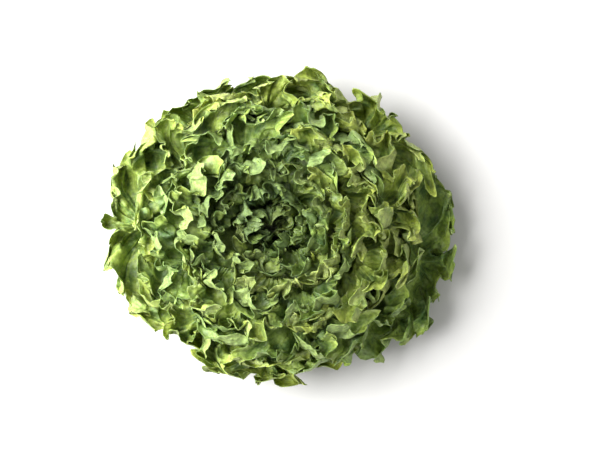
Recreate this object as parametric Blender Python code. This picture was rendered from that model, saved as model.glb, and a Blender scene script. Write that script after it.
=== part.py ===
"""A cut head of green leaf lettuce, standing on its stem: one solid stem and one solid for each leaf.

The leaves grow in a spiral, the oldest outside. Every leaf lies in a layer of its own: a surface of
revolution round the stem that rises, leans out and, in the outer layers, arches over. A point of a leaf is
given by the distance s from the root along the layer, the angle theta round the stem, and the layer w, from
0 at the heart to 1 outside. Layers with different w never cross, so frills are waves in w, and each leaf is
pressed outwards until it clears the leaves that it wraps.
"""

import math

import bmesh
import bpy
import numpy as np

# Head, in metres. TURN is the angle from each leaf to the next
LEAVES = 35
SEED = 255
TURN = math.radians(137.508)
TURN_JITTER = 0.06
FIRST_LEAF = math.radians(-10.0)
OUTER_LAYER = 1.0
HEART_LAYER = 0.03
LAYER_POWER = 1.0

# Leaf lengths from the outermost inwards. They space the margins evenly, as seen from above, and the outer ones
# give the outline in the photograph
LENGTHS = (0.141, 0.116, 0.116, 0.127, 0.131, 0.117, 0.114, 0.114, 0.113, 0.114, 0.109, 0.108)
LENGTHS += (0.107, 0.106, 0.104, 0.103, 0.101, 0.100, 0.097, 0.097, 0.094, 0.092, 0.091, 0.087)
LENGTHS += (0.084, 0.081, 0.076, 0.074, 0.067, 0.063, 0.061, 0.055, 0.054, 0.044, 0.040)

# Layers: how far they lean from upright where they start and where they end, how long they are, and where
# they start. Each pair holds the heart's value and the outermost layer's, or the change from one to the other
START_LEAN = (math.radians(2.0), math.radians(50.0))
LEAN_POWER = 1.5
END_LEAN = (math.radians(-6.0), math.radians(138.0))
END_LEAN_POWER = 0.9
HEART_LENGTH = 0.040
OUTER_LENGTH = 0.142
LENGTH_POWER = 1.2
ROOT_RADIUS = (0.005, 0.0125)
ROOT_HEIGHT = (0.052, -0.038)

# The step that slopes are measured over, the least bend and depth of a layer, and rounds of Newton's method
SMALL = 1e-4
LEAST_BEND = 1e-3
LEAST_DEPTH = 0.018
LEAST_TURN = 0.005
ROUNDS = 4

# Stem: its sides follow the leaves' roots, with a gap
STEM_GAP = 0.0005
STEM_LAYERS = (1.12, 0.74, 0.36, 0.0)
STEM_TIP = 0.003
CUT_RADIUS = 0.0165
CUT_BEVEL = 0.0012
STEM_SIDES = 24
SHARP = math.radians(40.0)

# The lowest that a margin's outer face starts from, so that its thickness stays off the floor
FLOOR_GAP = 0.0045

# Leaf outline: shares of the leaf's length and of its half angle
HALF_ANGLE = (math.radians(82.0), math.radians(-34.0))
ANGLE_SPREAD = (0.92, 1.08)
ROOT_WIDTH = 0.34
WAIST_POWER = 1.0
WIDEST_AT = 0.60
TIP_POWER = 3.0
RIB_END = 0.82
RIB_POWER = 1.05
VEIN_ARCH = 0.1
OUTLINE_STEPS = 200

# Frills: the waves of a leaf of the full-size length, smaller on shorter ones. They start at a share of the
# leaf's length and have their whole height at another
FULL_SIZE = 0.13
LEAST_SIZE = 0.5
LEAST_STEP_SIZE = 0.7
FRILL_STEP = 0.040
FRILL_HEIGHT = 0.016
FRILL_POWER = 1.8
FRILL_JITTER = 0.30
FRILL_LEAST = 0.60
FRILLS_FROM = 0.38
FRILLS_FULL_AT = 0.64

# How far a leaf's margin is cupped towards the heart
CUP = 0.018
CUP_POWER = 4.0

# How far a leaf's tip may droop, and its sides may twist, out of its layer
DROOP = 0.07
TWIST = 0.05

# Thickness of the blade, and of the rib on it, with the share that the heart's ribs have. A blade that stands
# steeply across the layers takes up more of them, up to a limit
BLADE = 0.0007
RIB = 0.0014
HEART_RIB = 0.35
RIB_HALF_WIDTH = 0.0065
CLEARANCE = 0.0006
STEEPEST = 0.3

# Rows of faces from the midrib to the margin
ROWS = {"outer": (0.0, 0.42, 0.76, 1.0), "inner": (0.0, 0.60, 1.0)}
INNER_FROM = 0.61

# The map of what the leaves inside already fill: steps along the layer and round the stem, how far and how
# gently each leaf's mark spreads, how softly a leaf meets it, and the samples along each edge of a face
MAP_LENGTH = 0.180
MAP_STEPS = 128
MAP_TURN_STEPS = 300
SPREAD = 4
SPREAD_FALL = 0.001
UNMARKED = -1.0
SOFTNESS = 0.015
SAMPLES = 8
LIFTS = 8
WELD = 1e-5


def start_lean(w):
    return START_LEAN[0] + (START_LEAN[1] - START_LEAN[0]) * np.maximum(w, 0) ** LEAN_POWER


def end_lean(w):
    return END_LEAN[0] + (END_LEAN[1] - END_LEAN[0]) * np.maximum(w, 0) ** END_LEAN_POWER


def layer_length(w):
    share = np.sin(np.clip(w, 0, 1) * math.pi / 2) ** LENGTH_POWER
    return HEART_LENGTH + (OUTER_LENGTH - HEART_LENGTH) * share


def layer_point(s, w):
    """Radius and height of the layer w at the distance s from its root: an arc whose lean grows evenly."""
    bend = (end_lean(w) - start_lean(w)) / layer_length(w)
    bend = np.where(np.abs(bend) < LEAST_BEND, LEAST_BEND, bend)
    lean = start_lean(w) + bend * s
    radius = ROOT_RADIUS[0] + ROOT_RADIUS[1] * w + (np.cos(start_lean(w)) - np.cos(lean)) / bend
    height = ROOT_HEIGHT[0] + ROOT_HEIGHT[1] * w + (np.sin(lean) - np.sin(start_lean(w))) / bend
    return radius, height, lean


def stand(s, theta, w):
    """Points in space from their places in the layers."""
    radius, height, _ = layer_point(s, w)
    return np.stack([radius * np.cos(theta), radius * np.sin(theta), height], -1)


def find_layer(places, s, w):
    """s, theta and w of points in space, by Newton's method from near values of s and w."""
    radius, height = np.hypot(places[..., 0], places[..., 1]), places[..., 2]
    for _ in range(ROUNDS):
        r, z, _ = layer_point(s, w)
        r_along, z_along, _ = layer_point(s + SMALL, w)
        r_out, z_out, _ = layer_point(s, w + SMALL)
        a, b, c, d = (r_along - r) / SMALL, (r_out - r) / SMALL, (z_along - z) / SMALL, (z_out - z) / SMALL
        turn = np.maximum(b * c - a * d, LEAST_TURN)
        far, up = radius - r, height - z
        s, w = s + (b * up - d * far) / turn, w + (c * far - a * up) / turn
    return s, np.arctan2(places[..., 1], places[..., 0]), w


def layer_depth(s, w):
    """Metres from layer to layer, for each unit of w."""
    r0, z0, lean = layer_point(s, w)
    r1, z1, _ = layer_point(s, w + SMALL)
    return np.maximum(((r1 - r0) * np.cos(lean) - (z1 - z0) * np.sin(lean)) / SMALL, LEAST_DEPTH)


def outline():
    """The right half of a leaf's outline from tip to root, across from 0 to 1 and along from 1 to 0."""
    turn = np.linspace(0, math.pi / 2, OUTLINE_STEPS)
    across = np.sin(turn) ** (2 / TIP_POWER)
    along = WIDEST_AT + (1 - WIDEST_AT) * np.cos(turn) ** (2 / TIP_POWER)
    down = np.linspace(1, 0, OUTLINE_STEPS)[1:]
    waist = ROOT_WIDTH + (1 - ROOT_WIDTH) * (down * down * (3 - 2 * down)) ** WAIST_POWER
    return np.concatenate([across, waist]), np.concatenate([along, WIDEST_AT * down])


def keep_off_floor(s, w):
    """The layers w, drawn in where they would reach lower than the resting margins may."""
    for _ in range(ROUNDS):
        _, height, lean = layer_point(s, w)
        low = np.maximum(FLOOR_GAP - height, 0)
        w = w - low / (layer_depth(s, w) * np.maximum(np.sin(lean), 0.5))
    return w


class Leaf:
    """One leaf's place, size and frills. The number counts from the outermost leaf inwards."""

    def __init__(self, number):
        rng = np.random.default_rng(SEED * 1000 + number)
        share = (number / (LEAVES - 1)) ** LAYER_POWER
        self.layer = OUTER_LAYER + (HEART_LAYER - OUTER_LAYER) * share
        self.theta = FIRST_LEAF + number * TURN + rng.uniform(-TURN_JITTER, TURN_JITTER)
        self.length = LENGTHS[number]
        self.half_angle = (HALF_ANGLE[0] + HALF_ANGLE[1] * self.layer) * rng.uniform(*ANGLE_SPREAD)
        self.across, self.along = outline()
        radius = layer_point(self.along * self.length, self.layer)[0]
        edge = np.hypot(np.diff(self.across * self.half_angle * radius), np.diff(self.along * self.length))
        edge = np.concatenate([[0], np.cumsum(edge)])
        self.edge = edge / edge[-1]
        self.size = min(1.0, max(LEAST_SIZE, self.length / FULL_SIZE))
        self.columns = 2 * round(2 * edge[-1] / (FRILL_STEP * max(self.size, LEAST_STEP_SIZE)))
        widths = rng.uniform(1 - FRILL_JITTER, 1 + FRILL_JITTER, (2, self.columns))
        self.margin_at = [np.concatenate([[0], np.cumsum(w) / w.sum()]) for w in widths]
        self.heights = rng.uniform(FRILL_LEAST, 1.0, 2 * self.columns + 4)
        self.droop = rng.uniform(0, DROOP)
        self.twist = rng.uniform(-TWIST, TWIST)
        self.rows = ROWS["inner" if self.layer < INNER_FROM else "outer"]

    def frill(self, column):
        """The wave at a column, counted from the tip: two columns to each crest and two to each trough."""
        at = (column - 0.5) / 2 + len(self.heights) // 2
        low = np.floor(at).astype(int)
        part = 0.5 - 0.5 * np.cos(math.pi * (at - low))
        sign = np.where(low % 2, 1.0, -1.0)
        return self.heights[low] * sign * (1 - part) - self.heights[low + 1] * sign * part

    def surface(self, column, q):
        """s, theta and w for a column, negative on the left, and q, 0 at the midrib and 1 at the margin."""
        count = np.abs(column)
        tau = np.where(
            column < 0,
            np.interp(count, np.arange(self.columns + 1), self.margin_at[0]),
            np.interp(count, np.arange(self.columns + 1), self.margin_at[1]),
        )
        across = np.interp(tau, self.edge, self.across) * np.sign(column)
        along = np.interp(tau, self.edge, self.along)
        rib = RIB_END * (1 - count / self.columns) ** RIB_POWER
        y = rib + (along - rib) * q + VEIN_ARCH * tau * (1 - tau) * np.sin(math.pi * q)
        s = np.maximum(y, 0) * self.length
        theta = self.theta + across * q * self.half_angle
        calm = np.clip((y - FRILLS_FROM) / (FRILLS_FULL_AT - FRILLS_FROM), 0, 1)
        rise = FRILL_HEIGHT * q**FRILL_POWER * self.frill(column) - CUP * q**CUP_POWER
        lean = self.droop * y**2 + self.twist * across * q * y
        w = self.layer + lean * (1 - self.layer) * 2 + rise * self.size * calm / layer_depth(s, self.layer)
        return s, theta, keep_off_floor(s, w)

    def thickness(self, s, theta):
        """The blade's thickness, and the rib's where it runs, thickest at the root."""
        radius = layer_point(s, self.layer)[0]
        sideways = (theta - self.theta) * radius / RIB_HALF_WIDTH
        taper = np.clip(1 - s / (RIB_END * self.length), 0, 1)
        return BLADE + RIB * (HEART_RIB + (1 - HEART_RIB) * self.layer) * taper * np.exp(-sideways**2)


def refine(grid):
    """The flat triangles between a grid's points, sampled evenly."""
    part = np.arange(SAMPLES + 1) / SAMPLES
    u, v = np.meshgrid(part, part, indexing="ij")
    u, v = (x.reshape(x.shape + (1,) * (grid.ndim - 2)) for x in (u, v))
    a, b = grid[:-1, :-1, None, None], grid[1:, :-1, None, None]
    c, d = grid[1:, 1:, None, None], grid[:-1, 1:, None, None]
    return np.where(u >= v, a + u * (b - a) + v * (c - b), a + v * (d - a) + u * (c - d))


def sample(s, theta, w):
    """s, theta and w over the flat faces of a grid."""
    return find_layer(refine(stand(s, theta, w)), refine(s), refine(w))


class Map:
    """How far out the leaves placed so far reach, over the distance from the root and the angle."""

    def __init__(self):
        self.top = np.zeros((MAP_STEPS, MAP_TURN_STEPS))

    def cell(self, s, theta):
        row = np.clip(s / MAP_LENGTH * (MAP_STEPS - 1), 0, MAP_STEPS - 1.001)
        return row, (theta / math.tau * MAP_TURN_STEPS) % MAP_TURN_STEPS

    def at(self, s, theta):
        row, turn = self.cell(s, theta)
        i, j = row.astype(int), turn.astype(int) % MAP_TURN_STEPS
        u, v, k = row - i, turn - turn.astype(int), (j + 1) % MAP_TURN_STEPS
        near = self.top[i, j] * (1 - v) + self.top[i, k] * v
        far = self.top[i + 1, j] * (1 - v) + self.top[i + 1, k] * v
        return near * (1 - u) + far * u

    def add(self, s, theta, w):
        row, turn = self.cell(s, theta)
        new = np.full_like(self.top, UNMARKED)
        np.maximum.at(new, (np.rint(row).astype(int), np.rint(turn).astype(int) % MAP_TURN_STEPS), w)
        for step in range(SPREAD):
            wider = np.maximum(np.roll(new, 1, 1), np.roll(new, -1, 1))
            wider[1:] = np.maximum(wider[1:], new[:-1])
            wider[:-1] = np.maximum(wider[:-1], new[1:])
            new = np.where((new > UNMARKED) & (step > 0), new, np.maximum(new, wider - SPREAD_FALL))
        self.top = np.maximum(self.top, new)


def slant(s, theta, w):
    """How many times its own thickness the blade takes up across the layers at each point, from its tilt."""
    places = stand(s, theta, w)
    a, b, c, d = places[:-1, :-1], places[1:, :-1], places[1:, 1:], places[:-1, 1:]
    lean, turn = layer_point(s, w)[2][:-1, :-1], theta[:-1, :-1]
    out = np.stack([np.cos(lean) * np.cos(turn), np.cos(lean) * np.sin(turn), -np.sin(lean)], -1)
    times = []
    for normal in (np.cross(b - a, c - b), np.cross(c - d, d - a)):
        across = np.abs((normal * out).sum(-1)) / (np.linalg.norm(normal, axis=-1) + 1e-12)
        times.append(1 / np.clip(across, STEEPEST, 1))
    faces = np.pad((times[0] + times[1]) / 2, 1, mode="edge")
    return (faces[:-1, :-1] + faces[1:, :-1] + faces[:-1, 1:] + faces[1:, 1:]) / 4


def press_clear(leaf, filled, column, q):
    """Both faces of the leaf, pressed outwards until the inner one clears what the leaves inside it fill."""
    s, theta, w = leaf.surface(column, q)
    low = filled.at(s, theta)
    w = low + np.logaddexp((w - low) / SOFTNESS, 0) * SOFTNESS
    for _ in range(LIFTS):
        fine_s, fine_theta, fine_w = sample(s, theta, w)
        lack = (filled.at(fine_s, fine_theta) - fine_w).max((2, 3))
        if lack.max() <= 0:
            break
        lift = np.zeros_like(w)
        for i in (0, 1):
            for j in (0, 1):
                part = lift[i : i + lack.shape[0], j : j + lack.shape[1]]
                np.maximum(part, lack, out=part)
        lift[:, 0] = np.maximum(lift[:, 0], lift[::-1, 0])
        w = w + lift
    thick = leaf.thickness(s, theta) * slant(s, theta, w)
    thick[:, 0] = np.maximum(thick[:, 0], thick[::-1, 0])
    outer = w + thick / layer_depth(s, w)
    fine_s, fine_theta, fine_w = sample(s, theta, outer)
    filled.add(fine_s, fine_theta, fine_w + CLEARANCE / layer_depth(fine_s, fine_w))
    return stand(s, theta, w), stand(s, theta, outer)


def material(name, colour, roughness):
    made = bpy.data.materials.new(name)
    made.use_nodes = True
    shader = made.node_tree.nodes["Principled BSDF"]
    shader.inputs["Base Color"].default_value = (*colour, 1)
    shader.inputs["Roughness"].default_value = roughness
    shader.inputs["Metallic"].default_value = 0.0
    return made


def make_leaf(leaf, filled, name, finish):
    """A grid of faces from midrib to margin, joined along the midrib and extruded to its outer face."""
    count, rows = 2 * leaf.columns + 1, len(leaf.rows)
    column, row = np.meshgrid(np.arange(count) - leaf.columns, range(rows), indexing="ij")
    inner, outer = press_clear(leaf, filled, column, np.array(leaf.rows)[row])
    bm = bmesh.new()
    place = bm.verts.layers.int.new("place")
    bmesh.ops.create_grid(bm, x_segments=count - 1, y_segments=rows - 1, size=0.5)
    for v in bm.verts:
        i, j = round((v.co.x + 0.5) * (count - 1)), round((v.co.y + 0.5) * (rows - 1))
        v.co = inner[i, j]
        v[place] = i * rows + j
    bmesh.ops.triangulate(bm, faces=bm.faces, quad_method="FIXED")
    bmesh.ops.remove_doubles(bm, verts=bm.verts, dist=WELD)
    grown = bmesh.ops.extrude_face_region(bm, geom=bm.faces[:], use_keep_orig=True)["geom"]
    for v in grown:
        if isinstance(v, bmesh.types.BMVert):
            v.co = outer[divmod(v[place], rows)]
    bmesh.ops.recalc_face_normals(bm, faces=bm.faces)
    mesh = bpy.data.meshes.new(name)
    bm.to_mesh(mesh)
    bm.free()
    mesh.shade_smooth()
    mesh.materials.append(finish)
    obj = bpy.data.objects.new(name, mesh)
    bpy.context.scene.collection.objects.link(obj)
    return obj


def make_stem(finish):
    """The cut stem: a turned solid that narrows upwards, just inside the leaves' roots."""
    layers = np.array(STEM_LAYERS)
    sides = zip(ROOT_RADIUS[0] + ROOT_RADIUS[1] * layers - STEM_GAP, ROOT_HEIGHT[0] + ROOT_HEIGHT[1] * layers)
    profile = [(0, 0), (CUT_RADIUS - CUT_BEVEL, 0), (CUT_RADIUS, CUT_BEVEL)]
    profile += [*sides, (0, ROOT_HEIGHT[0] + STEM_TIP)]
    bm = bmesh.new()
    verts = [bm.verts.new((r, 0, z)) for r, z in profile]
    edges = [bm.edges.new(pair) for pair in zip(verts, verts[1:])]
    geom, up, middle = verts + edges, (0, 0, 1), (0, 0, 0)
    bmesh.ops.spin(bm, geom=geom, axis=up, cent=middle, angle=math.tau, steps=STEM_SIDES, use_merge=True)
    bmesh.ops.remove_doubles(bm, verts=bm.verts, dist=WELD)
    bmesh.ops.recalc_face_normals(bm, faces=bm.faces)
    mesh = bpy.data.meshes.new("stem")
    bm.to_mesh(mesh)
    bm.free()
    mesh.shade_smooth()
    mesh.set_sharp_from_angle(angle=SHARP)
    mesh.materials.append(finish)
    obj = bpy.data.objects.new("stem", mesh)
    bpy.context.scene.collection.objects.link(obj)
    return obj


def main():
    for obj in list(bpy.data.objects):
        bpy.data.objects.remove(obj)
    green = material("leaf_green", (0.16, 0.30, 0.05), 0.45)
    pale = material("stem_pale", (0.72, 0.74, 0.50), 0.55)
    make_stem(pale)
    filled = Map()
    for number in reversed(range(LEAVES)):
        make_leaf(Leaf(number), filled, f"leaf_{number + 1:02d}", green)


main()
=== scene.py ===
# %% [markdown]
# # A head of green leaf lettuce from straight above
#
# A loose head of lettuce is a spiral of frilled leaves on a short stem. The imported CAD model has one
# plain solid for the stem and one for each leaf, with only the largest waves of its margin. This lesson
# gives every leaf a finer sheet with ruffles, lobes, teeth, puckers and veins, and gives leaf and stem
# their finishes. All sizes are in metres, +Z is up along the stem, and the head stands at the origin.

import math

import bmesh
import bpy
import numpy as np
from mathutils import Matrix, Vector


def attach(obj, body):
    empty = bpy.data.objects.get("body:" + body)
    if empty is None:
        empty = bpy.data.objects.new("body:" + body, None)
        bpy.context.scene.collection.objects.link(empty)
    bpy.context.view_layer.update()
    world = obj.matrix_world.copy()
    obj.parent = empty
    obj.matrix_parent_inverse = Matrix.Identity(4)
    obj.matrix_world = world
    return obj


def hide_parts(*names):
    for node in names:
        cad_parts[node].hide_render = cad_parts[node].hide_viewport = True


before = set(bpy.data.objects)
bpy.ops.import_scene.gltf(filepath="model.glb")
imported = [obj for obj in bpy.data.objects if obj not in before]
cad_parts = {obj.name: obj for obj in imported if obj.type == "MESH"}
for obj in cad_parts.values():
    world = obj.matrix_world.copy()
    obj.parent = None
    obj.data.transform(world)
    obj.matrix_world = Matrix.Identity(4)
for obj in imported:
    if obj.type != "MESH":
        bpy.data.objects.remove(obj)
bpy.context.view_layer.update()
leaf_nodes = sorted(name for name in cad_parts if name.startswith("leaf_"))
print("the CAD model has", len(leaf_nodes), "leaves")

# %% [markdown]
# ## Camera
#
# The photograph looks straight down, so the margins are seen in plan and the heart is a dark hollow in
# the middle. A long lens from well above keeps the sides of the head from spreading, as in the
# photograph. The camera stands a little to the right of the stem, because the head fills the left of the
# picture.

# %% Camera
VIEW_CENTRE = Vector((0.0217, 0.0023, 0.08))
CAMERA_RISE = 1.5
LENS = 116.0

camera = bpy.data.objects.new("camera", bpy.data.cameras.new("camera"))
bpy.context.scene.collection.objects.link(camera)
camera.data.lens = LENS
camera.location = VIEW_CENTRE + Vector((0, 0, CAMERA_RISE))
bpy.context.scene.camera = camera
print("camera", round(camera.location.z, 3), "m above the table")

# %% [markdown]
# ## Layers
#
# Every leaf of the head wraps the younger ones, like the skins of an onion that open outwards. The CAD
# model places each leaf in such a layer: a surface of revolution round the stem that rises, leans out and
# arches over. A point of a leaf is told by three numbers: s, the distance from its root along the layer,
# theta, the angle round the stem, and w, the layer, from 0 at the heart to 1 outside. Layers keep their
# order, but for the innermost ones, with w below 0.03, that cross near their tops. So a ruffle can be a
# wave in w, and leaves stay apart if their w values do. The fine leaves use the same layers, so they lie
# where the CAD leaves lie. Of the pairs of numbers, the leans hold the heart's value and the outermost
# layer's, and the others the heart's value and the change from there to the outermost layer.

# %% Layers round the stem
START_LEAN = (math.radians(2.0), math.radians(50.0))
LEAN_POWER = 1.5
END_LEAN = (math.radians(-6.0), math.radians(138.0))
END_LEAN_POWER = 0.9
HEART_LENGTH = 0.040
OUTER_LENGTH = 0.142
LENGTH_POWER = 1.2
ROOT_RADIUS = (0.005, 0.0125)
ROOT_HEIGHT = (0.052, -0.038)
SLOPE_STEP = 1e-4
LEAST_BEND = 1e-3
LEAST_DEPTH = 0.018


def between(pair, share):
    return pair[0] + (pair[1] - pair[0]) * share


def layer_length(w):
    return between((HEART_LENGTH, OUTER_LENGTH), np.sin(np.clip(w, 0, 1) * math.pi / 2) ** LENGTH_POWER)


def layer_point(s, w):
    """Radius, height and lean of the layer w at the distance s from its root, along an arc."""
    start = between(START_LEAN, np.maximum(w, 0) ** LEAN_POWER)
    end = between(END_LEAN, np.maximum(w, 0) ** END_LEAN_POWER)
    bend = (end - start) / layer_length(w)
    bend = np.where(np.abs(bend) < LEAST_BEND, LEAST_BEND, bend)
    lean = start + bend * s
    radius = ROOT_RADIUS[0] + ROOT_RADIUS[1] * w + (np.cos(start) - np.cos(lean)) / bend
    height = ROOT_HEIGHT[0] + ROOT_HEIGHT[1] * w + (np.sin(lean) - np.sin(start)) / bend
    return radius, height, lean


def stand(s, theta, w):
    """Points in space from their places in the layers."""
    radius, height, _ = layer_point(s, w)
    return np.stack([radius * np.cos(theta), radius * np.sin(theta), height], -1)


def layer_depth(s, w):
    """Metres from layer to layer, for each unit of w."""
    r0, z0, lean = layer_point(s, w)
    r1, z1, _ = layer_point(s, w + SLOPE_STEP)
    return np.maximum(((r1 - r0) * np.cos(lean) - (z1 - z0) * np.sin(lean)) / SLOPE_STEP, LEAST_DEPTH)


for w in (0.0, 0.5, 1.0):
    r, z, lean = layer_point(layer_length(w), w)
    print(f"layer {w}: ends at radius {r:.3f}, height {z:.3f}, leaning {math.degrees(lean):.0f} degrees")

# %% [markdown]
# ## Leaf outline and places
#
# A lettuce leaf is broad, with a rounded top and a narrow waist at the root. Its outline is cut from the
# leaf's share of the layer: along the length, and across the angle that it wraps. Each leaf stands 137.5
# degrees on from the one before, as leaves grow, and its small differences come from a seeded random
# draw, the same as in the CAD model, so that each fine leaf has the turn, width, length and large waves
# of the leaf that it replaces.

# %% Leaf outline
ROOT_WIDTH = 0.34
WIDEST_AT = 0.60
TIP_POWER = 3.0
OUTLINE_STEPS = 200


def outline():
    """The right half of a leaf's outline from tip to root, across from 0 to 1 and along from 1 to 0."""
    turn = np.linspace(0, math.pi / 2, OUTLINE_STEPS)
    across = np.sin(turn) ** (2 / TIP_POWER)
    along = WIDEST_AT + (1 - WIDEST_AT) * np.cos(turn) ** (2 / TIP_POWER)
    down = np.linspace(1, 0, OUTLINE_STEPS)[1:]
    waist = ROOT_WIDTH + (1 - ROOT_WIDTH) * (down * down * (3 - 2 * down))
    return np.concatenate([across, waist]), np.concatenate([along, WIDEST_AT * down])


print("a leaf is widest at", WIDEST_AT, "of its length, and its root is", ROOT_WIDTH, "as wide")

# %% Place and size of each leaf
LEAVES = 35
SEED = 255
TURN = math.radians(137.508)
TURN_JITTER = 0.06
FIRST_LEAF = math.radians(-10.0)
OUTER_LAYER = 1.0
HEART_LAYER = 0.03

# Lengths from the outermost leaf inwards. From above they space the margins evenly, and the outer ones give
# the outline in the photograph
LENGTHS = (0.141, 0.116, 0.116, 0.127, 0.131, 0.117, 0.114, 0.114, 0.113, 0.114, 0.109, 0.108)
LENGTHS += (0.107, 0.106, 0.104, 0.103, 0.101, 0.100, 0.097, 0.097, 0.094, 0.092, 0.091, 0.087)
LENGTHS += (0.084, 0.081, 0.076, 0.074, 0.067, 0.063, 0.061, 0.055, 0.054, 0.044, 0.040)

# Half the angle that a leaf wraps: the heart's and the change from there to the outermost layer
HALF_ANGLE = (math.radians(82.0), math.radians(-34.0))
ANGLE_SPREAD = (0.92, 1.08)

# Leaves shorter than the full size have smaller waves, down to a least share
FULL_SIZE = 0.13
LEAST_SIZE = 0.5
LEAST_STEP_SIZE = 0.7
FRILL_STEP = 0.040
FRILL_JITTER = 0.30
FRILL_LEAST = 0.60
DROOP = 0.07
TWIST = 0.05


class Leaf:
    """One leaf's place, size and large frills. The number counts from the outermost leaf inwards."""

    def __init__(self, number):
        rng = np.random.default_rng(SEED * 1000 + number)
        share = number / (LEAVES - 1)
        self.number = number
        self.layer = OUTER_LAYER + (HEART_LAYER - OUTER_LAYER) * share
        self.theta = FIRST_LEAF + number * TURN + rng.uniform(-TURN_JITTER, TURN_JITTER)
        self.length = LENGTHS[number]
        self.half_angle = (HALF_ANGLE[0] + HALF_ANGLE[1] * self.layer) * rng.uniform(*ANGLE_SPREAD)
        self.across, self.along = outline()
        radius = layer_point(self.along * self.length, self.layer)[0]
        edge = np.hypot(np.diff(self.across * self.half_angle * radius), np.diff(self.along * self.length))
        edge = np.concatenate([[0], np.cumsum(edge)])
        self.margin = edge[-1]
        self.edge = edge / edge[-1]
        self.size = min(1.0, max(LEAST_SIZE, self.length / FULL_SIZE))
        self.columns = 2 * round(2 * edge[-1] / (FRILL_STEP * max(self.size, LEAST_STEP_SIZE)))
        widths = rng.uniform(1 - FRILL_JITTER, 1 + FRILL_JITTER, (2, self.columns))
        self.margin_at = [np.concatenate([[0], np.cumsum(w) / w.sum()]) for w in widths]
        self.heights = rng.uniform(FRILL_LEAST, 1.0, 2 * self.columns + 4)
        self.droop = rng.uniform(0, DROOP)
        self.twist = rng.uniform(-TWIST, TWIST)


leaves = [Leaf(number) for number in range(LEAVES)]
print("lengths in mm:", [round(leaf.length * 1000) for leaf in leaves])

# %% [markdown]
# ## From midrib to margin
#
# The veins of the leaf run from the midrib out to the margin in arches. The sheet follows them: a column
# is one such line, negative on the left half, and q runs along it from 0 on the midrib to 1 at the
# margin. The tip is column 0, and the two halves meet on the midrib. Waves that go with q and column then
# follow the veins, as real frills do.

# %% Places on a leaf
RIB_END = 0.82
RIB_POWER = 1.05
VEIN_ARCH = 0.1
LEAST_VEIN = 0.010


def place(leaf, column, q):
    """Where a point of the sheet lies: its share of the margin, then across and along the leaf."""
    count = np.minimum(np.abs(column), leaf.columns)
    ticks = np.arange(leaf.columns + 1)
    left, right = (np.interp(count, ticks, at) for at in leaf.margin_at)
    tau = np.where(column < 0, left, right)
    across = np.interp(tau, leaf.edge, leaf.across) * np.sign(column)
    along = np.interp(tau, leaf.edge, leaf.along)
    rib = RIB_END * (1 - count / leaf.columns) ** RIB_POWER
    y = rib + (along - rib) * q + VEIN_ARCH * tau * (1 - tau) * np.sin(math.pi * q)
    return tau, across * q, y


def vein_length(leaf, column):
    """Metres from the midrib to the margin along a column."""
    _, across_end, end = place(leaf, column, np.ones_like(column))
    _, across_start, start = place(leaf, column, np.zeros_like(column))
    radius = layer_point(np.maximum(end, 0) * leaf.length, leaf.layer)[0]
    sideways = (across_end - across_start) * leaf.half_angle * radius
    return np.hypot(sideways, (end - start) * leaf.length) + LEAST_VEIN


columns = np.linspace(-leaves[0].columns, leaves[0].columns, 5)
print("veins of the outermost leaf in mm:", np.round(vein_length(leaves[0], columns) * 1000))

# %% [markdown]
# ## Ruffles within ruffles
#
# The margin of a lettuce leaf grows longer than the blade behind it, so it has to buckle: large waves,
# smaller ones on them, and smaller ones again towards the edge. Sine waves would look like a pie crust.
# Here each wave has crests and troughs at uneven steps and of uneven height, and its sides lean over, so
# that the edge folds on itself and meanders. The blade between the veins is puckered, which comes from
# noise on a lattice.

# %% Uneven waves
WAVE_JITTER = 0.55
LEAST_CREST = 0.25


class Waves:
    """Crests and troughs in turn, unevenly spaced, along the margin on both sides of the tip."""

    def __init__(self, rng, span, step):
        count = 2 * int(span / step) + 8
        gaps = step / 2 * rng.uniform(1 - WAVE_JITTER, 1 + WAVE_JITTER, count)
        self.at = np.cumsum(gaps) - gaps.sum() / 2
        self.heights = rng.uniform(LEAST_CREST, 1.0, count) * np.where(np.arange(count) % 2, 1, -1)

    def read(self, x):
        """The wave's height at x, and how far its sides lean over."""
        i = np.clip(np.searchsorted(self.at, x) - 1, 0, len(self.at) - 2)
        gap = self.at[i + 1] - self.at[i]
        u = np.clip((x - self.at[i]) / gap, 0, 1)
        part = 0.5 - 0.5 * np.cos(math.pi * u)
        return self.heights[i] * (1 - part) + self.heights[i + 1] * part, np.sin(math.tau * u) * gap


sample = Waves(np.random.default_rng(0), 0.1, 0.02)
print("crests and troughs of a 20 mm wave in mm:", np.round(sample.at[3:9] * 1000))

# %% Smooth noise
NOISE_SPAN = 0.6


class Noise:
    """Random heights on a square lattice, with smooth slopes between them."""

    def __init__(self, rng, step):
        self.step, self.count = step, int(NOISE_SPAN / step) + 4
        self.heights = rng.uniform(-1, 1, (self.count, self.count))

    def read(self, x, y):
        x, y = (t / self.step + self.count / 2 for t in (x, y))
        i, j = (np.floor(t).astype(int) % (self.count - 1) for t in (x, y))
        u, v = (t - np.floor(t) for t in (x, y))
        u, v = (t * t * (3 - 2 * t) for t in (u, v))
        near = self.heights[i, j] * (1 - u) + self.heights[i + 1, j] * u
        far = self.heights[i, j + 1] * (1 - u) + self.heights[i + 1, j + 1] * u
        return near * (1 - v) + far * v


sample = Noise(np.random.default_rng(0), 0.01)
print("10 mm noise along a line:", np.round(sample.read(np.linspace(0, 0.05, 6), 0.0), 1))

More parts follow.
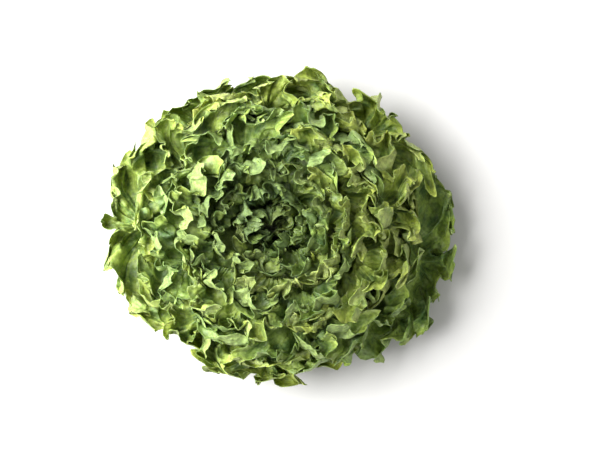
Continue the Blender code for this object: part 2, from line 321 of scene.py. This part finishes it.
# %% What one leaf's margin and blade are made of
# Each ruffle has a step along the margin, a height, a depth from the margin and a lean of its sides. Each
# lobe, down to the teeth, has a step, a reach and a depth
RUFFLES = ((0.027, 0.0060, 0.042, 0.27), (0.0125, 0.0068, 0.026, 0.30), (0.0068, 0.0024, 0.011, 0.22))
LOBES = ((0.048, 0.0100, 0.045), (0.021, 0.0040, 0.022), (0.0095, 0.0032, 0.012), (0.0042, 0.0015, 0.005))
STREAK_STEP = 0.0028
PUCKER_STEP = 0.016
BLISTER_STEP = 0.010
DRIFT_STEP = 0.018
MARGIN_SPAN = 2.4
LEAST_WAVE_SIZE = 0.45
FRILL_SEED = 500


class Frills:
    """All the uneven waves of one leaf, smaller on the small leaves of the heart, and its tint."""

    def __init__(self, leaf):
        rng = np.random.default_rng(FRILL_SEED + leaf.number)
        span, size = MARGIN_SPAN * leaf.margin, max(leaf.size, LEAST_WAVE_SIZE)
        self.ruffles = [Waves(rng, span, step * size) for step, *_ in RUFFLES]
        self.lobes = [Waves(rng, span, step * size) for step, *_ in LOBES]
        self.puckers, self.drift = (Noise(rng, step * size) for step in (PUCKER_STEP, DRIFT_STEP))
        self.blisters, self.streaks = (Noise(rng, step) for step in (BLISTER_STEP, STREAK_STEP))
        self.tint = rng.uniform(0, 1)


print("a full-size margin has ruffles every", [step * 1000 for step, *_ in RUFFLES], "mm")

# %% [markdown]
# ## The leaf's surface
#
# Each wave has its own height and its own depth, which is how far in from the margin it can still be
# seen. The ruffles fade out in about 42, 26 and 11 mm, the largest lobes in 45 mm and the teeth in 5 mm.
# The margin as a whole cups towards the heart, so that from above the frilled edges stand up in rows.
# Near the root the leaf is calm. Away from the margin the blade is puckered and blistered instead, and
# each wave wanders a little.

# %% Surface of a frilled leaf
# Frills start at one share of the leaf's length and are whole at the other
FRILLS_FROM = 0.38
FRILLS_FULL_AT = 0.64

# The CAD leaf's own waves are lower here, as the ruffles add to them, and lean over
FRILL_HEIGHT = 0.008
FRILL_POWER = 1.8
FRILL_LEANS = 0.5

# Waves fade in from the margin, and the margin cups towards the heart
FADE_POWER = 1.5
CUP = 0.018
CUP_POWER = 4.0

# The margin curls back in its troughs, and its lobes are round with sharp notches between. Both go outwards
# from the leaf's middle, forwards at the tip and sideways further down
CURL = 0.006
CURL_DEPTH = 0.012
CURL_POWER = 1.5
LOBE_TOP = 0.6
LOBE_NOTCH = 0.5
MARGIN_TURN = 1.6
LEAST_FORWARD = 0.2

# Waves wander along the margin, more the further they are from it
DRIFT = 0.007
DRIFT_FROM = 0.002
DRIFT_FULL = 0.008

# The blade inside the margin's band is puckered and blistered, with ridges between the hollows
MARGIN_BAND = 0.012
PUCKER_HEIGHT = 0.009
PUCKER_RIDGE = 2.5
PUCKER_SINK = 0.6
BLISTER_HEIGHT = 0.0018
BLISTER_RIDGE = 2.0
BLISTER_TOP = 0.5

# Tips and sides of the heart's leaves lean out of their layers more, and the midrib's seam stays calm
HEART_DROOP = 2
SEAM = 0.25
LEAST_BLADE_RADIUS = 0.02
LEAST_LOBE_RADIUS = 0.03

# Outer margins are drawn in until they are this far off the ground, in a few rounds
FLOOR_GAP = 0.0045
LEAST_SINE = 0.5
ROUNDS = 4


def keep_off_floor(s, w):
    """The layers w, drawn in where they would reach lower than the resting margins may."""
    for _ in range(ROUNDS):
        _, height, lean = layer_point(s, w)
        low = np.maximum(FLOOR_GAP - height, 0)
        w = w - low / (layer_depth(s, w) * np.maximum(np.sin(lean), LEAST_SINE))
    return w


def large_frill(leaf, column):
    """The CAD leaf's own wave: its height, and how far along it is between a crest and a trough."""
    at = (column - 0.5) / 2 + len(leaf.heights) // 2
    low = np.floor(at).astype(int)
    part = 0.5 - 0.5 * np.cos(math.pi * (at - low))
    sign = np.where(low % 2, 1.0, -1.0)
    return leaf.heights[low] * sign * (1 - part) - leaf.heights[low + 1] * sign * part, at - low


def surface(leaf, frills, column, q):
    """s, theta and w over the leaf's sheet, and each point's metres from the margin."""
    tau, across, y = place(leaf, column, q)
    size = leaf.size
    calm = np.clip((y - FRILLS_FROM) / (FRILLS_FULL_AT - FRILLS_FROM), 0, 1)
    metre = np.sign(column) * tau * leaf.margin
    inwards = (1 - q) * vein_length(leaf, column)
    seam = np.clip(q / SEAM, 0, 1)
    frilled = calm * seam * seam * (3 - 2 * seam)

    def near(depth):
        return np.exp(-((inwards / (depth * size)) ** FADE_POWER))

    wide = np.maximum(layer_point(np.maximum(y, 0) * leaf.length, leaf.layer)[0], LEAST_BLADE_RADIUS)
    x_flat, y_flat = across * leaf.half_angle * wide, y * leaf.length
    wander = DRIFT * frills.drift.read(x_flat, y_flat) * np.clip((inwards - DRIFT_FROM) / DRIFT_FULL, 0, 1)
    big, phase = large_frill(leaf, column)
    slide = FRILL_LEANS * np.sin(math.tau * phase) * q**FRILL_POWER
    ruffled = 0
    for waves, (_, height, depth, leans) in zip(frills.ruffles, RUFFLES):
        crest, lean = waves.read(metre + wander)
        ruffled = ruffled + height * crest * near(depth)
        slide = slide + leans * lean * near(depth) * leaf.columns / leaf.margin
    tau, across, y = place(leaf, column + slide * frilled, q)

    pull = -CURL * np.clip(-big, 0, 1) ** CURL_POWER * near(CURL_DEPTH)
    for waves, (_, reach, depth) in zip(frills.lobes, LOBES):
        pull += reach * (LOBE_TOP - LOBE_NOTCH * (1 - waves.read(metre + wander)[0]) ** 2) * near(depth)
    pull *= size * frilled
    facing = tau * math.pi / MARGIN_TURN
    s = np.maximum(y, 0) * leaf.length + pull * np.clip(np.cos(facing), LEAST_FORWARD, 1)
    wide = np.maximum(layer_point(s, leaf.layer)[0], LEAST_LOBE_RADIUS)
    across = across + pull * np.sin(facing) * np.sign(column) / (leaf.half_angle * wide)

    rise = FRILL_HEIGHT * q**FRILL_POWER * big * calm - CUP * q**CUP_POWER * calm
    rise += frilled * ruffled
    pucker = PUCKER_HEIGHT * (PUCKER_RIDGE * np.abs(frills.puckers.read(x_flat, y_flat)) - PUCKER_SINK)
    blister = BLISTER_HEIGHT * (BLISTER_TOP - BLISTER_RIDGE * np.abs(frills.blisters.read(x_flat, y_flat)))
    rise = rise * size + calm * (1 - near(MARGIN_BAND)) * (pucker * size + blister)
    droop = (leaf.droop * y**2 + leaf.twist * across * y) * (1 - leaf.layer) * HEART_DROOP
    w = leaf.layer + droop + rise / layer_depth(s, leaf.layer)
    return s, leaf.theta + across * leaf.half_angle, keep_off_floor(s, w), inwards


near_tip = np.linspace(-4, 4, 9)
s, theta, w, _ = surface(leaves[0], Frills(leaves[0]), near_tip, np.ones_like(near_tip))
print("heights round the outermost leaf's tip in mm:", np.round(stand(s, theta, w)[:, 2] * 1000))

# %% [markdown]
# ## Pressing the leaves together
#
# Leaves that cross each other would look wrong. As in the CAD model, the head is packed from the heart
# outwards: a map over distance and angle remembers how far out the leaves so far reach, and each new leaf
# is pressed outwards, softly, past them. That keeps the leaves mostly apart, but not wholly: some ruffles
# still cut into the next leaf, or through a fold of their own.

# %% Map of what the leaves fill
MAP_LENGTH = 0.180
MAP_STEPS = 128
MAP_TURN_STEPS = 300
SPREAD = 3
SPREAD_FALL = 0.001
UNMARKED = -1.0


class Map:
    """How far out the leaves placed so far reach, over the distance from the root and the angle."""

    def __init__(self):
        self.top = np.zeros((MAP_STEPS, MAP_TURN_STEPS))

    def cell(self, s, theta):
        row = np.clip(s / MAP_LENGTH * (MAP_STEPS - 1), 0, MAP_STEPS - 1.001)
        return row, (theta / math.tau * MAP_TURN_STEPS) % MAP_TURN_STEPS

    def read(self, s, theta):
        row, turn = self.cell(s, theta)
        i, j = row.astype(int), turn.astype(int) % MAP_TURN_STEPS
        u, v, k = row - i, turn - turn.astype(int), (j + 1) % MAP_TURN_STEPS
        near = self.top[i, j] * (1 - v) + self.top[i, k] * v
        far = self.top[i + 1, j] * (1 - v) + self.top[i + 1, k] * v
        return near * (1 - u) + far * u

    def add(self, s, theta, w):
        row, turn = self.cell(s, theta)
        new = np.full_like(self.top, UNMARKED)
        np.maximum.at(new, (np.rint(row).astype(int), np.rint(turn).astype(int) % MAP_TURN_STEPS), w)
        for step in range(SPREAD):
            wider = np.maximum(np.roll(new, 1, 1), np.roll(new, -1, 1))
            wider[1:] = np.maximum(wider[1:], new[:-1])
            wider[:-1] = np.maximum(wider[:-1], new[1:])
            new = np.where((new > UNMARKED) & (step > 0), new, np.maximum(new, wider - SPREAD_FALL))
        self.top = np.maximum(self.top, new)


filled = Map()
print("the map has", MAP_STEPS, "by", MAP_TURN_STEPS, "cells")

# %% [markdown]
# ## Finishes
#
# The upper side of a lettuce leaf is yellow-green, darker in the blade, lighter along the veins and
# nearly yellow at the margin, from where the yellow runs into the blade in streaks. It has a soft gloss.
# The underside is paler and duller. Thin leaves glow where the light comes through, which a little
# subsurface scattering gives. The patterns follow the leaf through attributes that its sheet carries: the
# distance from the margin, the veins, the streaks, a painted shade that darkens the leaves deep in the
# heart, and its own tint, as some leaves are yellower. Noise on Object coordinates varies the colour, and
# small rounded cells raise the skin between the finest veins.

# %% Helpers for what a finish reads
def material(name):
    made = bpy.data.materials.new(name)
    made.use_nodes = True
    return made, made.node_tree, made.node_tree.nodes["Principled BSDF"]


def attribute(tree, name):
    node = tree.nodes.new("ShaderNodeAttribute")
    node.attribute_name = name
    return node.outputs["Fac"]


def place_on_object(tree):
    return tree.nodes.new("ShaderNodeTexCoord").outputs["Object"]


def noise(tree, scale, detail=3.0, roughness=0.55):
    node = tree.nodes.new("ShaderNodeTexNoise")
    node.inputs["Scale"].default_value = scale
    node.inputs["Detail"].default_value = detail
    node.inputs["Roughness"].default_value = roughness
    tree.links.new(place_on_object(tree), node.inputs["Vector"])
    return node.outputs["Fac"]


print("a finish can read attributes, noise and the place on the object")

# %% Helpers for colours
def ramp(tree, value, stops):
    """A colour ramp over a value. Each stop is a position and a linear colour."""
    node = tree.nodes.new("ShaderNodeValToRGB")
    node.color_ramp.interpolation = "EASE"
    elements = node.color_ramp.elements
    while len(elements) < len(stops):
        elements.new(0.5)
    for element, (position, colour) in zip(elements, stops):
        element.position = position
        element.color = (*colour, 1)
    tree.links.new(value, node.inputs["Fac"])
    return node.outputs["Color"]


def mix(tree, share, a, b, kind="MIX"):
    """Two colours mixed. A share or a colour may be a socket or a plain value."""
    node = tree.nodes.new("ShaderNodeMix")
    node.data_type = "RGBA"
    node.blend_type = kind
    for socket, value in ((node.inputs[0], share), (node.inputs[6], a), (node.inputs[7], b)):
        if isinstance(value, bpy.types.NodeSocket):
            tree.links.new(value, socket)
        else:
            socket.default_value = value if socket.type == "VALUE" else (*value, 1)
    return node.outputs[2]


print("colours can be ramped over a value and mixed")

# %% Helpers for values and relief
def span(tree, value, low, high, to_low, to_high):
    """A value's range, mapped to another range and clamped to it."""
    node = tree.nodes.new("ShaderNodeMapRange")
    for name, number in zip(("From Min", "From Max", "To Min", "To Max"), (low, high, to_low, to_high)):
        node.inputs[name].default_value = number
    tree.links.new(value, node.inputs["Value"])
    return node.outputs["Result"]


def times(tree, a, b):
    """Two values multiplied."""
    node = tree.nodes.new("ShaderNodeMath")
    node.operation = "MULTIPLY"
    tree.links.new(a, node.inputs[0])
    tree.links.new(b, node.inputs[1])
    return node.outputs["Value"]


def grey(tree, value):
    """A value as a colour without hue."""
    node = tree.nodes.new("ShaderNodeCombineColor")
    for channel in node.inputs:
        tree.links.new(value, channel)
    return node.outputs["Color"]


def bump(tree, shader, height, strength, distance):
    """Small relief on a finish, raised where the value is low."""
    node = tree.nodes.new("ShaderNodeBump")
    node.invert = True
    node.inputs["Strength"].default_value = strength
    node.inputs["Distance"].default_value = distance
    tree.links.new(height, node.inputs["Height"])
    tree.links.new(node.outputs["Normal"], shader.inputs["Normal"])


print("values can be spanned, multiplied, turned grey and used as relief")

# %% Leaf finish
BLADE_GREEN = (0.074, 0.142, 0.035)
BLADE_LIGHT = (0.240, 0.335, 0.065)
MARGIN_YELLOW = (0.292, 0.365, 0.070)
RIM_PALE = (0.300, 0.360, 0.110)
UNDER_GREEN = (0.165, 0.250, 0.072)
UNDER_PALE = (0.270, 0.350, 0.120)
UNDER_MARGIN = (0.265, 0.345, 0.095)
VEIN_PALE = (0.300, 0.370, 0.120)
RIM_GREEN = (0.120, 0.190, 0.045)
# Painted shade: the colour of the leaves deep in the heart is multiplied by this to darken them as shadow
# would
PAINTED_HEART_SHADE = (0.48, 0.52, 0.52)
DARK_LEAF = (0.96, 1.00, 1.03)
YELLOW_LEAF = (1.36, 1.22, 1.12)
PATCH_SCALE = 60.0
PATCH_DETAIL = 4.0
PATCH_EDGES = (0.38, 0.66)
SPECKLE_SCALE = 320.0
SHEEN_SCALE = 90.0
CELL_SCALE = 240.0
CELL_STRENGTH = 0.9
CELL_HEIGHT = 0.0020

# Each of these maps a value's range to the range of a share or a factor
LIGHT_STREAKS = (0.35, 0.80, 0.0, 0.6)
MARGIN_FADE = (0.0, 0.016, 0.9, 0.0)
MARGIN_STREAKS = (0.25, 0.75, 0.35, 1.0)
VEIN_SHARE = (0.0, 1.0, 0.0, 0.45)
EDGE_FADE = (0.0, 0.0010, 0.12, 0.0)
SPECKLE = (0.34, 0.66, 0.66, 1.24)
SHEEN_FROM = (0.3, 0.7)
SHEEN = (-0.07, 0.09)

# How much of the light goes through the skin, and how far: for red, green and blue, times a scale in metres
GLOW_WEIGHT = 0.4
GLOW_RADIUS = (1.0, 1.0, 0.4)
GLOW_SCALE = 0.001

# Roughness and gloss of each finish
UPPER_SKIN = (0.50, 0.40)
UNDER_SKIN = (0.60, 0.35)
RIM_SKIN = (0.50, 0.30)


def leaf_finish(name, deep, light, margin, rim, roughness, gloss):
    made, tree, shader = material(name)
    from_margin, streak = attribute(tree, "from_margin"), attribute(tree, "streak")
    patches = noise(tree, PATCH_SCALE, PATCH_DETAIL)
    blade = ramp(tree, patches, [(PATCH_EDGES[0], deep), (PATCH_EDGES[1], light)])
    blade = mix(tree, span(tree, streak, *LIGHT_STREAKS), blade, light)
    feathered = times(tree, span(tree, from_margin, *MARGIN_FADE), span(tree, streak, *MARGIN_STREAKS))
    colour = mix(tree, feathered, blade, margin)
    colour = mix(tree, span(tree, attribute(tree, "vein"), *VEIN_SHARE), colour, VEIN_PALE)
    colour = mix(tree, span(tree, from_margin, *EDGE_FADE), colour, rim)
    speckle = span(tree, noise(tree, SPECKLE_SCALE), *SPECKLE)
    colour = mix(tree, 1.0, colour, grey(tree, speckle), "MULTIPLY")
    # Painted shade: where the shade attribute is set, the colour is darkened by the heart's painted shade
    colour = mix(tree, attribute(tree, "shade"), colour, mix(tree, 1.0, colour, PAINTED_HEART_SHADE, "MULTIPLY"))
    tint = ramp(tree, attribute(tree, "tint"), [(0.0, DARK_LEAF), (1.0, YELLOW_LEAF)])
    tree.links.new(mix(tree, 1.0, colour, tint, "MULTIPLY"), shader.inputs["Base Color"])
    sheen = (roughness + change for change in SHEEN)
    tree.links.new(span(tree, noise(tree, SHEEN_SCALE), *SHEEN_FROM, *sheen), shader.inputs["Roughness"])
    shader.inputs["Specular IOR Level"].default_value = gloss
    shader.inputs["Subsurface Weight"].default_value = GLOW_WEIGHT
    shader.inputs["Subsurface Radius"].default_value = GLOW_RADIUS
    shader.inputs["Subsurface Scale"].default_value = GLOW_SCALE
    cells = tree.nodes.new("ShaderNodeTexVoronoi")
    cells.feature = "SMOOTH_F1"
    cells.inputs["Scale"].default_value = CELL_SCALE
    tree.links.new(place_on_object(tree), cells.inputs["Vector"])
    bump(tree, shader, cells.outputs["Distance"], CELL_STRENGTH, CELL_HEIGHT)
    return made


leaf_green = leaf_finish("leaf_upper_side", BLADE_GREEN, BLADE_LIGHT, MARGIN_YELLOW, RIM_PALE, *UPPER_SKIN)
leaf_under = leaf_finish("leaf_underside", UNDER_GREEN, UNDER_PALE, UNDER_MARGIN, RIM_PALE, *UNDER_SKIN)
leaf_rim = leaf_finish("leaf_cut_edge", BLADE_GREEN, BLADE_GREEN, RIM_GREEN, RIM_GREEN, *RIM_SKIN)
print("three finishes for a leaf: upper side, underside and rim")

# %% [markdown]
# ## Building the leaves
#
# One grid makes a leaf: its columns run round the margin, closer together near the tip where the frills
# are, and its rows from midrib to margin. The grid's points are moved on to the leaf's surface, the two
# halves are joined along the midrib, and a Solidify modifier thickens the sheet outwards, with the upper
# side's finish towards the heart and the underside's outside. The root end of the midrib is thicker,
# which a vertex group tells the modifier. Large leaves have more columns and rows than small ones.

# %% Grid of a leaf
# A full-size leaf's columns and rows of cells, and the shares that the smallest leaves keep. Columns crowd
# towards the tip, and rows towards the margin
COLUMNS = 420
ROWS = 28
FULL_MARGIN = 0.26
LEAST_COLUMNS = 0.45
LEAST_ROWS = 0.6
TIP_SHARE = 0.58
TIP_CROWDING = 4
ROW_POWER = 1.35


def grid_of(leaf):
    """Column and q of every point of the leaf's sheet."""
    wide = int(COLUMNS * max(leaf.margin / FULL_MARGIN, LEAST_COLUMNS)) // 2 * 2
    tall = int(ROWS * max(leaf.size, LEAST_ROWS))
    t = np.linspace(-1, 1, wide + 1)
    crowded = TIP_SHARE * np.abs(t) + (1 - TIP_SHARE) * np.abs(t) ** TIP_CROWDING
    column = leaf.columns * np.sign(t) * crowded
    q = 1 - (1 - np.linspace(0, 1, tall + 1)) ** ROW_POWER
    return np.meshgrid(column, q, indexing="ij")


column, q = grid_of(leaves[0])
print("the outermost leaf's grid has", column.shape[0], "by", column.shape[1], "points")

# %% Press a leaf into its place
BLADE = 0.0004
RIB = 0.0018
RIB_HALF_WIDTH = 0.0065
CLEARANCE = 0.0006
SOFTNESS = 0.002


def press(leaf, frills, column, q):
    """The leaf's sheet, pressed outwards until it clears the leaves inside it."""
    s, theta, w, inwards = surface(leaf, frills, column, q)
    low = filled.read(s, theta)
    w = low + np.logaddexp((w - low) / SOFTNESS, 0) * SOFTNESS
    radius = layer_point(s, leaf.layer)[0]
    rib = np.exp(-(((theta - leaf.theta) * radius / RIB_HALF_WIDTH) ** 2))
    rib *= np.clip(1 - s / (RIB_END * leaf.length), 0, 1)
    filled.add(s, theta, w + (BLADE + RIB * rib + CLEARANCE) / layer_depth(s, w))
    return stand(s, theta, w), rib, inwards


print("a blade is", BLADE, "m thick, with up to", RIB, "m more on the midrib")

# %% Veins
# Each kind of vein: how many to a column, the width as a share of a column, and the strength
VEINS = ((1, 0.12, 1.0), (4, 0.06, 0.6))
VEIN_FADE = 0.4


def vein_pattern(column, q):
    """Bright lines along the columns, with finer and fainter ones between them, from 0 to 1."""
    veins = 0
    for each, width, strength in VEINS:
        side = np.abs(np.sin(math.pi * column * each)) / (math.pi * each)
        veins = np.maximum(veins, strength * np.clip(1 - side / width, 0, 1))
    return veins * (1 - VEIN_FADE * q)


print("veins over a quarter of a column:", np.round(vein_pattern(np.linspace(0, 0.25, 6), 0.0), 2))

# %% Mesh of one leaf
# Streaks are drawn out along the veins. Leaves in layers below a limit get painted shade in their colour,
# fully so after a span
WELD = 1e-5
STREAK_STRETCH = 0.22
PAINTED_SHADE_UNTIL = 0.54
PAINTED_SHADE_SPAN = 0.32


def frilled_leaf(leaf):
    """The leaf's mesh, with the attributes that its finishes read."""
    column, q = grid_of(leaf)
    frills = Frills(leaf)
    places, rib, inwards = press(leaf, frills, column, q)
    metre = np.sign(column) * place(leaf, column, q)[0] * leaf.margin
    values = {
        "from_margin": inwards,
        "vein": vein_pattern(column, q),
        "streak": 0.5 + 0.5 * frills.streaks.read(metre, inwards * STREAK_STRETCH),
        "rib": rib,
        # Painted shade for the leaves deep in the heart
        "shade": np.full_like(q, np.clip((PAINTED_SHADE_UNTIL - leaf.layer) / PAINTED_SHADE_SPAN, 0, 1)),
        "tint": np.full_like(q, frills.tint),
    }
    wide, tall = column.shape
    bm = bmesh.new()
    bmesh.ops.create_grid(bm, x_segments=wide - 1, y_segments=tall - 1, size=0.5)
    flat = np.array([v.co for v in bm.verts])
    i = np.rint((flat[:, 0] + 0.5) * (wide - 1)).astype(int)
    j = np.rint((flat[:, 1] + 0.5) * (tall - 1)).astype(int)
    layers = {name: bm.verts.layers.float.new(name) for name in values}
    for v, at, *row in zip(bm.verts, places[i, j], *(values[name][i, j] for name in layers)):
        v.co = at
        for layer, value in zip(layers.values(), row):
            v[layer] = value
    bmesh.ops.remove_doubles(bm, verts=bm.verts, dist=WELD)
    mesh = bpy.data.meshes.new(f"frilled_leaf_{leaf.number + 1:02d}")
    bm.to_mesh(mesh)
    bm.free()
    mesh.shade_smooth()
    return mesh


print("leaves are shaded in layers below", PAINTED_SHADE_UNTIL)

# %% Build all leaves from the heart outwards
TRIANGLES_A_CELL = 4
total = 0
for leaf in reversed(leaves):
    mesh = frilled_leaf(leaf)
    piece = bpy.data.objects.new(mesh.name, mesh)
    bpy.context.scene.collection.objects.link(piece)
    for finish in (leaf_under, leaf_green, leaf_rim):
        mesh.materials.append(finish)
    group = piece.vertex_groups.new(name="thick")
    weights = np.zeros(len(mesh.vertices), np.float32)
    mesh.attributes["rib"].data.foreach_get("value", weights)
    for index, weight in enumerate((BLADE + RIB * weights) / (BLADE + RIB)):
        group.add([index], float(weight), "REPLACE")
    thick = piece.modifiers.new("thickness", "SOLIDIFY")
    thick.thickness = BLADE + RIB
    thick.offset = 1.0
    thick.vertex_group = "thick"
    thick.material_offset = 1
    thick.material_offset_rim = 2
    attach(piece, "root")
    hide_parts(f"leaf_{leaf.number + 1:02d}")
    total += TRIANGLES_A_CELL * len(mesh.polygons)
print(LEAVES, "leaves with", total, "triangles, rims left out")

# %% [markdown]
# ## Stem
#
# The stem is a short pale column. Its sides are hidden by the leaves' roots, and the head stands on its
# cut face. The CAD solid's shape is right, so it stays and gets a better finish: greenish white and
# mottled, with a browner, moist cut.

# %% Stem finish
STEM_PALE = (0.56, 0.60, 0.34)
STEM_LIGHT = (0.70, 0.72, 0.50)
CUT_BROWN = (0.42, 0.30, 0.13)
CUT_UNTIL = 0.003
CUT_SHARE = 0.75
CUT_ROUGHNESS = 0.30
STEM_ROUGHNESS = 0.55
MOTTLE_SCALE = 160.0
MOTTLE_DETAIL = 4.0
MOTTLE_EDGES = (0.35, 0.65)
FIBRE_SCALE = 240.0
FIBRE_STRENGTH = 0.4
FIBRE_HEIGHT = 0.0008

stem_finish, tree, shader = material("stem_pale")
mottle = noise(tree, MOTTLE_SCALE, MOTTLE_DETAIL)
skin = ramp(tree, mottle, [(MOTTLE_EDGES[0], STEM_PALE), (MOTTLE_EDGES[1], STEM_LIGHT)])
place_on_stem = tree.nodes.new("ShaderNodeSeparateXYZ")
tree.links.new(place_on_object(tree), place_on_stem.inputs["Vector"])
height = place_on_stem.outputs["Z"]
at_cut = span(tree, height, 0.0, CUT_UNTIL, CUT_SHARE, 0.0)
roughness = span(tree, height, 0.0, CUT_UNTIL, CUT_ROUGHNESS, STEM_ROUGHNESS)
tree.links.new(mix(tree, at_cut, skin, CUT_BROWN), shader.inputs["Base Color"])
tree.links.new(roughness, shader.inputs["Roughness"])
bump(tree, shader, noise(tree, FIBRE_SCALE), FIBRE_STRENGTH, FIBRE_HEIGHT)
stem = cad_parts["stem"]
for place_of_finish in stem.material_slots:
    place_of_finish.material = stem_finish
if not stem.material_slots:
    stem.data.materials.append(stem_finish)
print("stem finish on", len(stem.material_slots), "slot")

# %% [markdown]
# ## Table and light
#
# The photograph was taken on a plain white ground, with one broad soft light from the upper left and a
# soft shadow to the lower right. The left side of the head is bright, the right side darker, and the
# heart dark. A large area light and an even pale sky give that, helped by painted shade in the heart's
# leaves. The table is a little greyer than white, so that the light brings it just up to white and the
# shadow's soft edge still shows.

# %% Table
TABLE_HALF = 3.0
TABLE_PALE = (0.56, 0.555, 0.545)
TABLE_ROUGHNESS = 0.9

bm = bmesh.new()
bmesh.ops.create_grid(bm, x_segments=1, y_segments=1, size=TABLE_HALF)
table_mesh = bpy.data.meshes.new("table")
bm.to_mesh(table_mesh)
bm.free()
table = bpy.data.objects.new("table", table_mesh)
bpy.context.scene.collection.objects.link(table)
table_finish, tree, shader = material("white_ground")
shader.inputs["Base Color"].default_value = (*TABLE_PALE, 1)
shader.inputs["Roughness"].default_value = TABLE_ROUGHNESS
table_mesh.materials.append(table_finish)
print("table", 2 * TABLE_HALF, "m wide")

# %% Light
KEY_FROM = Vector((-1.10, 0.26, 1.15))
KEY_SIZE = 1.5
KEY_POWER = 108.0
SKY = (1.0, 1.0, 1.0)
SKY_STRENGTH = 0.62

key = bpy.data.objects.new("key_light", bpy.data.lights.new("key_light", "AREA"))
bpy.context.scene.collection.objects.link(key)
key.data.size = KEY_SIZE
key.data.energy = KEY_POWER
key.location = KEY_FROM
key.rotation_euler = (-KEY_FROM).to_track_quat("-Z", "Y").to_euler()
world = bpy.data.worlds.new("sky")
world.use_nodes = True
world.node_tree.nodes["Background"].inputs["Color"].default_value = (*SKY, 1)
world.node_tree.nodes["Background"].inputs["Strength"].default_value = SKY_STRENGTH
bpy.context.scene.world = world
bpy.context.scene.view_settings.view_transform = "Standard"
print("key light", KEY_POWER, "W from the upper left")
